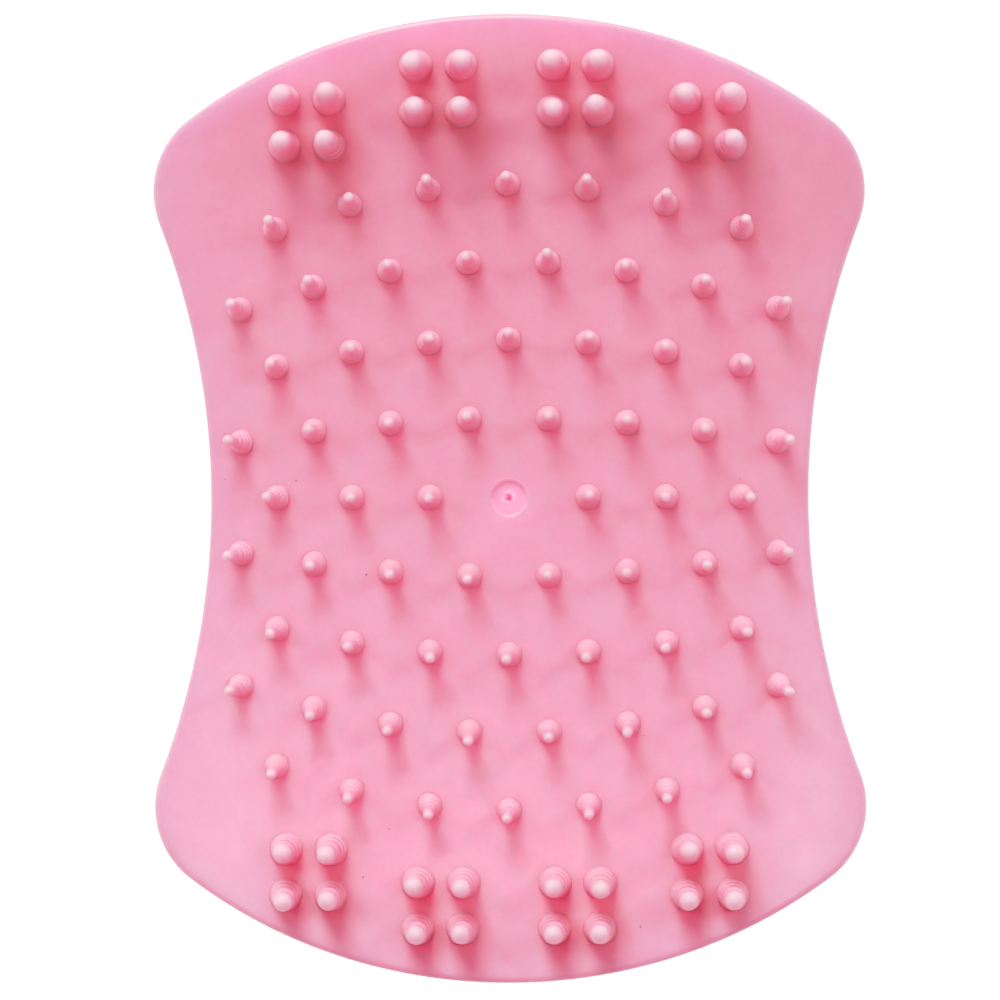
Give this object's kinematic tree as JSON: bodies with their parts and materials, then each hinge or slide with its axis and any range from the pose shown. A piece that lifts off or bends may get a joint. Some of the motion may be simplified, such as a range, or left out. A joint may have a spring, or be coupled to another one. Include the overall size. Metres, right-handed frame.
{
  "type": "scalp massager brush",
  "caption": "Palm-held scalp massager brush: waisted grip shell with a saddle-shaped elastomer face of short and long massage teeth",
  "frame": {"origin": "centre of the small resting flat on the crown of the back, at the bottom of the part", "axes": "+Z from the back to the tooth tips, +Y along the length, +X across the width"},
  "size_m": [0.0672, 0.09, 0.0443],
  "materials": {
    "shell_plastic": "smooth moulded gloss, pink",
    "carrier_plastic": "natural moulded, hidden inside",
    "elastomer": "satin pink elastomer, slightly translucent"
  },
  "bodies": {
    "root": {"carrier_frame": "carrier_plastic", "grip_cover": "shell_plastic", "long_teeth_bottom_left_inner": "elastomer", "long_teeth_bottom_left_outer": "elastomer", "long_teeth_bottom_right_inner": "elastomer", "long_teeth_bottom_right_outer": "elastomer", "long_teeth_top_left_inner": "elastomer", "long_teeth_top_left_outer": "elastomer", "long_teeth_top_right_inner": "elastomer", "long_teeth_top_right_outer": "elastomer", "short_teeth_row_1": "elastomer", "short_teeth_row_2": "elastomer", "short_teeth_row_3": "elastomer", "short_teeth_row_4": "elastomer", "short_teeth_row_5": "elastomer", "short_teeth_row_6": "elastomer", "short_teeth_row_7": "elastomer", "short_teeth_row_8": "elastomer", "short_teeth_row_9": "elastomer", "tooth_plate": "elastomer"}
  },
  "joints": []
}
